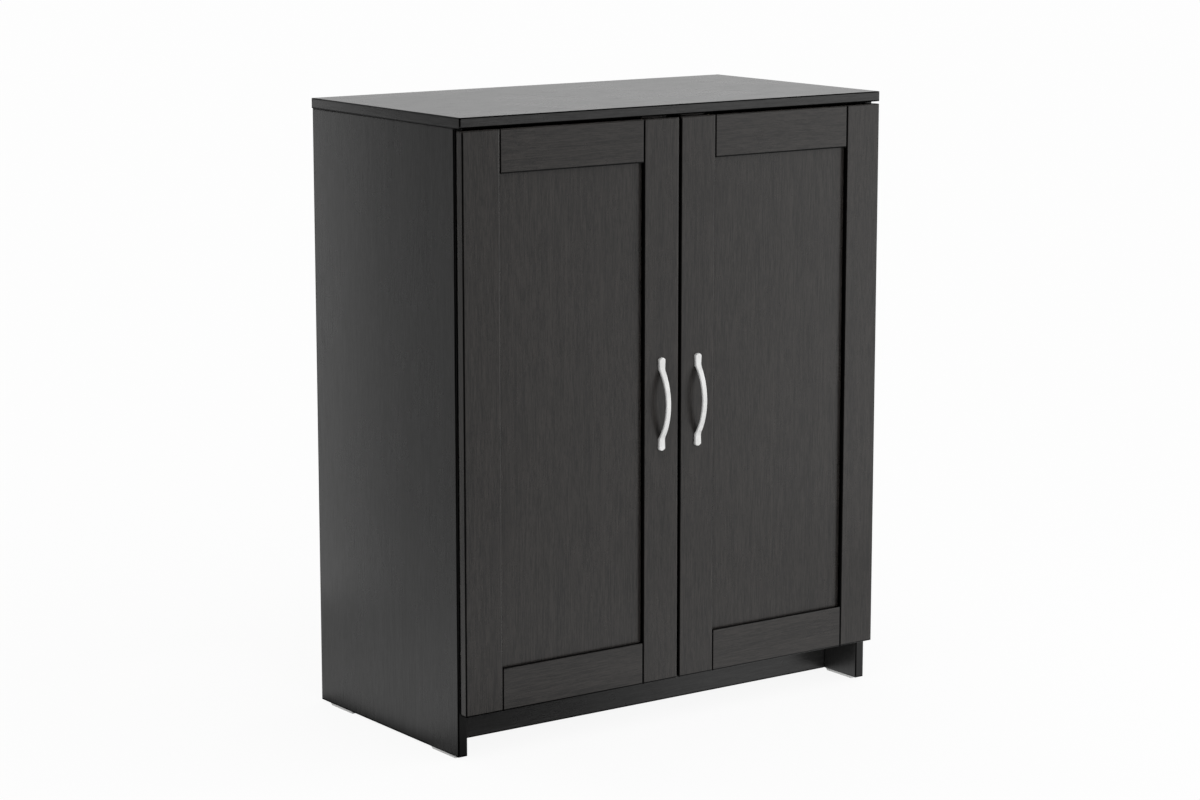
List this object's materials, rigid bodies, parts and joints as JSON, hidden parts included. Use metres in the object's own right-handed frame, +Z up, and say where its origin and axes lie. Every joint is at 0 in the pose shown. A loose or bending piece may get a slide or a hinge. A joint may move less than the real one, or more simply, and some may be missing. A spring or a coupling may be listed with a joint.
{
  "type": "shoe cabinet",
  "caption": "Upright shoe cabinet with overlay framed doors on cup hinges, bow handles, loose shelves and a set-back kick board.",
  "frame": {"origin": "on the floor under the middle of the whole cabinet with its handles", "axes": "+X to the right seen from the front, +Y to the back, +Z up"},
  "size_m": [0.8, 0.4444, 0.972],
  "materials": {
    "panel_laminate": "black-brown woodgrain laminate, satin",
    "door_laminate": "black-brown woodgrain foil, satin",
    "back_board": "thin hardboard, dark painted face",
    "joint_strip": "matt extruded plastic",
    "satin_handle": "satin silver",
    "white_plastic": "white moulded plastic",
    "clear_rubber": "clear soft bumper",
    "beech": "plain fluted beech",
    "dark_plastic": "dark brown moulded plastic",
    "zinc": "die-cast zinc",
    "nickel": "nickel-plated steel",
    "bright_steel": "zinc-plated steel"
  },
  "bodies": {
    "carcass": {"back_joint_strip": "joint_strip", "back_left_foot_pad": "white_plastic", "back_nails": "bright_steel", "back_right_foot_pad": "white_plastic", "bottom_cam_bolts": "bright_steel", "bottom_cams": "zinc", "bottom_panel": "panel_laminate", "catch_screws": "bright_steel", "corner_block_screws": "bright_steel", "corner_blocks": "dark_plastic", "foot_pad_nails": "bright_steel", "front_left_foot_pad": "white_plastic", "front_right_foot_pad": "white_plastic", "hinge_arm_screws": "bright_steel", "hinge_plate_screws": "bright_steel", "kick_board": "panel_laminate", "left_back_panel": "back_board", "left_hinge_arms": "nickel", "left_hinge_plates": "nickel", "left_side_panel": "panel_laminate", "magnet_catches": "dark_plastic", "panel_dowels": "beech", "right_back_panel": "back_board", "right_hinge_arms": "nickel", "right_hinge_plates": "nickel", "right_side_panel": "panel_laminate", "shelf_1": "panel_laminate", "shelf_2": "panel_laminate", "shelf_3": "panel_laminate", "shelf_4": "panel_laminate", "shelf_pins": "bright_steel", "side_cams": "zinc", "top_cam_bolts": "bright_steel", "top_panel": "panel_laminate"},
    "left_door": {"left_door_outer_stile": "door_laminate", "left_door_inner_stile": "door_laminate", "left_door_top_rail": "door_laminate", "left_door_bottom_rail": "door_laminate", "left_door_panel": "door_laminate", "left_handle": "satin_handle", "left_handle_screws": "bright_steel", "left_hinge_cups": "nickel", "left_cup_screws": "bright_steel", "left_hinge_pins": "bright_steel", "left_door_bumpers": "clear_rubber", "left_strike_plate": "bright_steel"},
    "right_door": {"right_door_outer_stile": "door_laminate", "right_door_inner_stile": "door_laminate", "right_door_top_rail": "door_laminate", "right_door_bottom_rail": "door_laminate", "right_door_panel": "door_laminate", "right_handle": "satin_handle", "right_handle_screws": "bright_steel", "right_hinge_cups": "nickel", "right_cup_screws": "bright_steel", "right_hinge_pins": "bright_steel", "right_door_bumpers": "clear_rubber", "right_strike_plate": "bright_steel"}
  },
  "joints": [
    {"name": "left_door_hinge", "type": "hinge", "parent": "carcass", "child": "left_door", "pos_m": [-0.3893, -0.19425, 0.5115], "axis": [0, 0, -1], "range_deg": [0, 95]},
    {"name": "right_door_hinge", "type": "hinge", "parent": "carcass", "child": "right_door", "pos_m": [0.3893, -0.19425, 0.5115], "axis": [0, 0, 1], "range_deg": [0, 95]}
  ]
}
